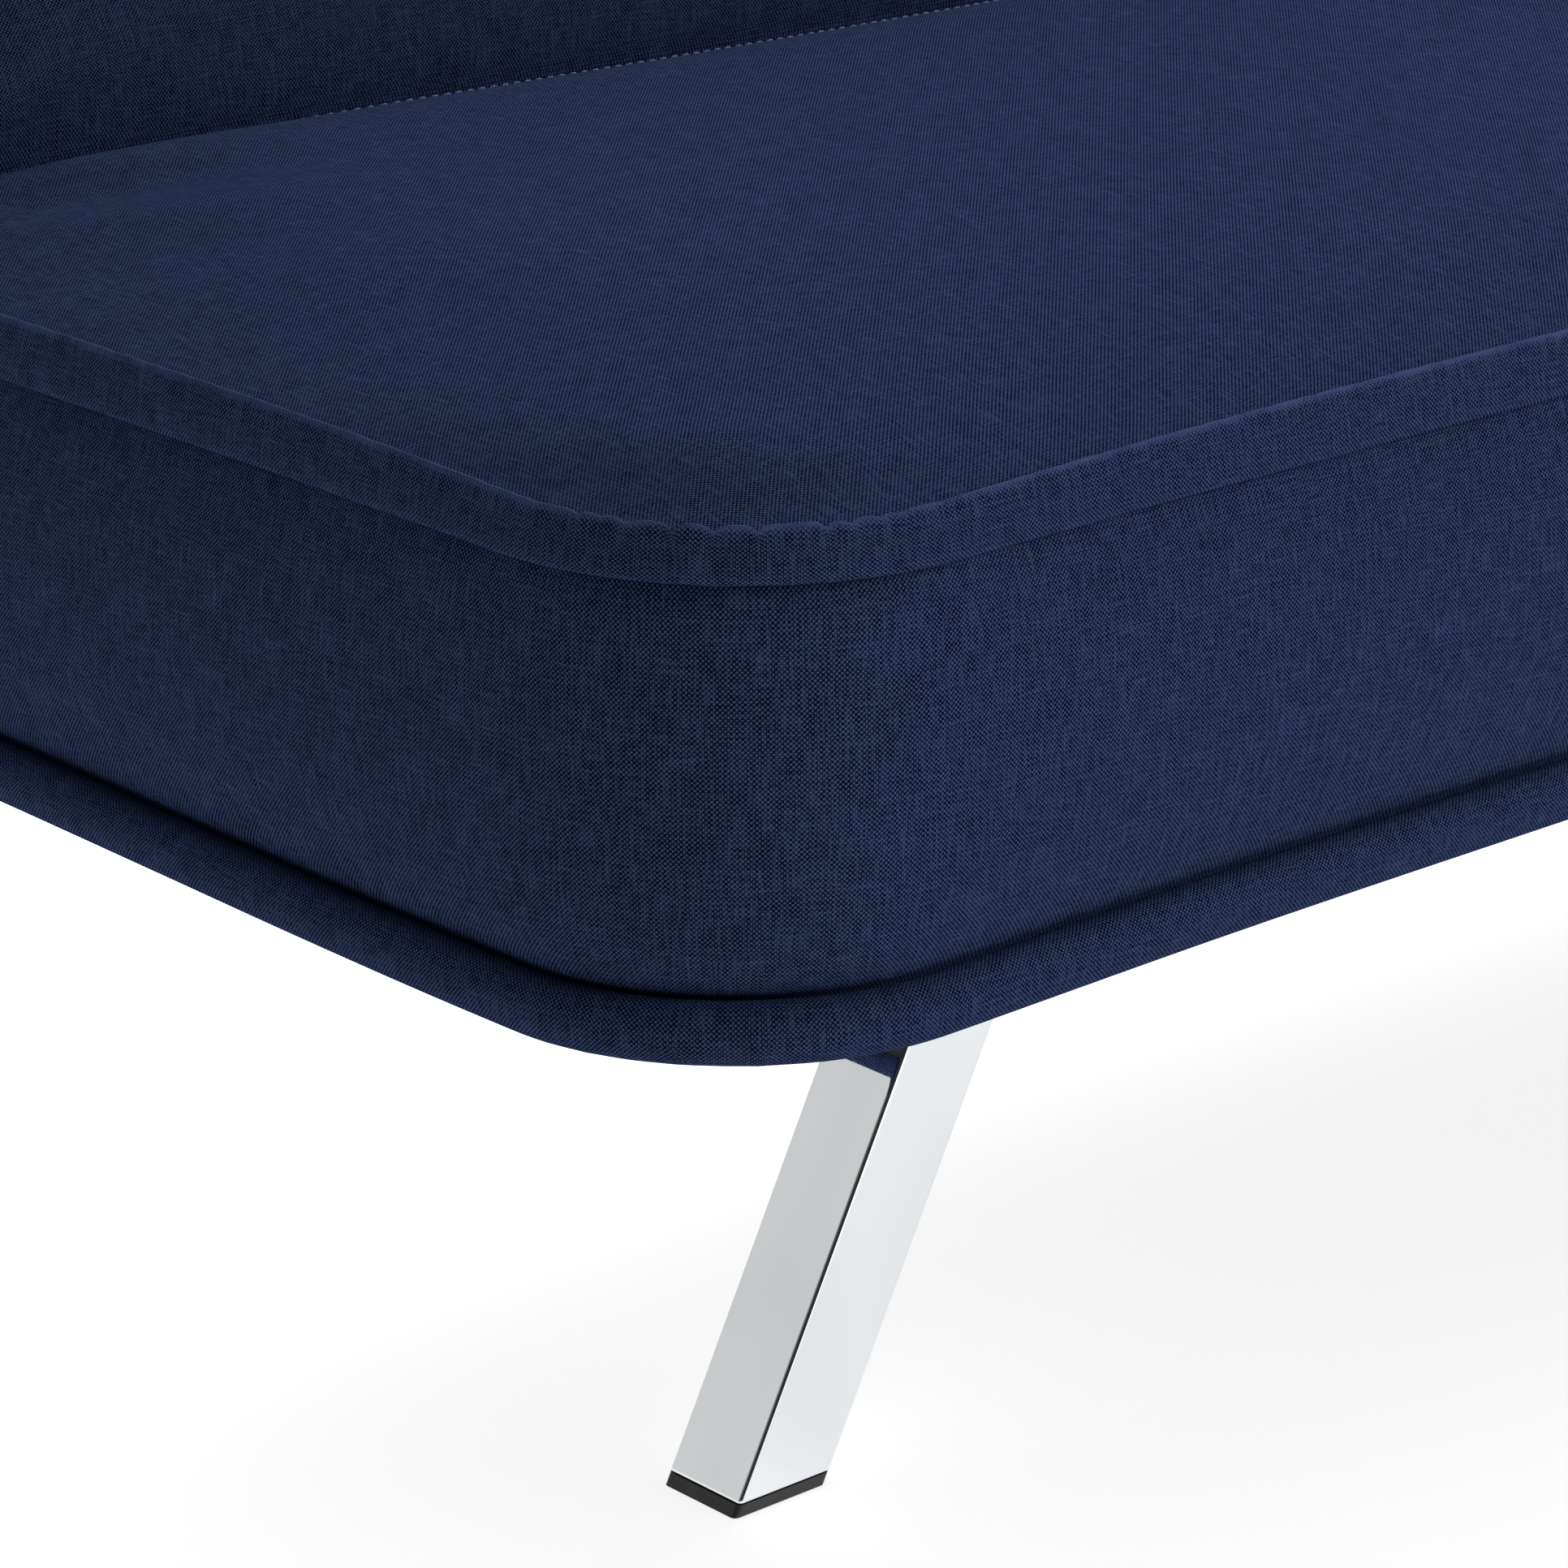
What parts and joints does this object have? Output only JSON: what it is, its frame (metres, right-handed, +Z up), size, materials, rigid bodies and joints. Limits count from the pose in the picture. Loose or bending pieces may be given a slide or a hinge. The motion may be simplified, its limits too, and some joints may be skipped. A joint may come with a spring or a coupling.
{
  "type": "futon sofa bed",
  "caption": "Armless click-clack sofa bed: navy woven seat and back pads that fold flat on a low steel base with splayed chrome legs.",
  "frame": {"origin": "centre of the sofa's footprint box, on the floor, with the back raised", "axes": "+X along the sofa's length, to the right as seen from the front; -Y is the side people sit at; +Z up"},
  "size_m": [1.68, 0.8486, 0.751],
  "materials": {
    "navy_fabric": "matte",
    "foam": "matte",
    "dust_cloth": "matte",
    "painted_steel": "satin",
    "zinc_steel": "satin",
    "chrome": "polished",
    "black_plastic": "satin",
    "rubber": "matte"
  },
  "bodies": {
    "base": {"base_rail_front": "painted_steel", "base_rail_rear": "painted_steel", "base_rail_left": "painted_steel", "base_rail_right": "painted_steel", "seat_stop_left": "rubber", "base_bracket_left": "painted_steel", "tilt_pin_left": "zinc_steel", "seat_stop_right": "rubber", "base_bracket_right": "painted_steel", "tilt_pin_right": "zinc_steel", "leg_front_left": "chrome", "foot_cap_front_left": "black_plastic", "leg_plate_front_left": "painted_steel", "leg_bolt_front_left_front": "zinc_steel", "leg_bolt_front_left_rear": "zinc_steel", "leg_front_right": "chrome", "foot_cap_front_right": "black_plastic", "leg_plate_front_right": "painted_steel", "leg_bolt_front_right_front": "zinc_steel", "leg_bolt_front_right_rear": "zinc_steel", "leg_rear_left": "chrome", "foot_cap_rear_left": "black_plastic", "leg_plate_rear_left": "painted_steel", "leg_bolt_rear_left_front": "zinc_steel", "leg_bolt_rear_left_rear": "zinc_steel", "leg_rear_right": "chrome", "foot_cap_rear_right": "black_plastic", "leg_plate_rear_right": "painted_steel", "leg_bolt_rear_right_front": "zinc_steel", "leg_bolt_rear_right_rear": "zinc_steel"},
    "seat": {"seat_cover": "navy_fabric", "seat_foam": "foam", "seat_dust_cover": "dust_cloth", "seat_frame_front": "painted_steel", "seat_frame_rear": "painted_steel", "seat_frame_left": "painted_steel", "seat_frame_right": "painted_steel", "seat_frame_brace": "painted_steel", "seat_spring_left_1": "zinc_steel", "seat_spring_left_2": "zinc_steel", "seat_spring_right_1": "zinc_steel", "seat_spring_right_2": "zinc_steel", "seat_hinge_arm_left": "painted_steel", "recline_pin_left": "zinc_steel", "ratchet_pawl_left": "zinc_steel", "seat_hinge_arm_right": "painted_steel", "recline_pin_right": "zinc_steel", "ratchet_pawl_right": "zinc_steel"},
    "back": {"back_cover": "navy_fabric", "back_foam": "foam", "back_dust_cover": "dust_cloth", "back_frame_top": "painted_steel", "back_frame_bottom": "painted_steel", "back_frame_left": "painted_steel", "back_frame_right": "painted_steel", "back_frame_brace": "painted_steel", "back_hinge_arm_left": "painted_steel", "ratchet_wheel_left": "zinc_steel", "back_hinge_arm_right": "painted_steel", "ratchet_wheel_right": "zinc_steel"}
  },
  "joints": [
    {"name": "seat_tilt", "type": "hinge", "parent": "base", "child": "seat", "pos_m": [0, 0.26567, 0.225], "axis": [-1, 0, 0], "range_deg": [0, 20]},
    {"name": "back_recline", "type": "hinge", "parent": "seat", "child": "back", "pos_m": [0, 0.09952, 0.33806], "axis": [-1, 0, 0], "range_deg": [-5, 57]}
  ]
}
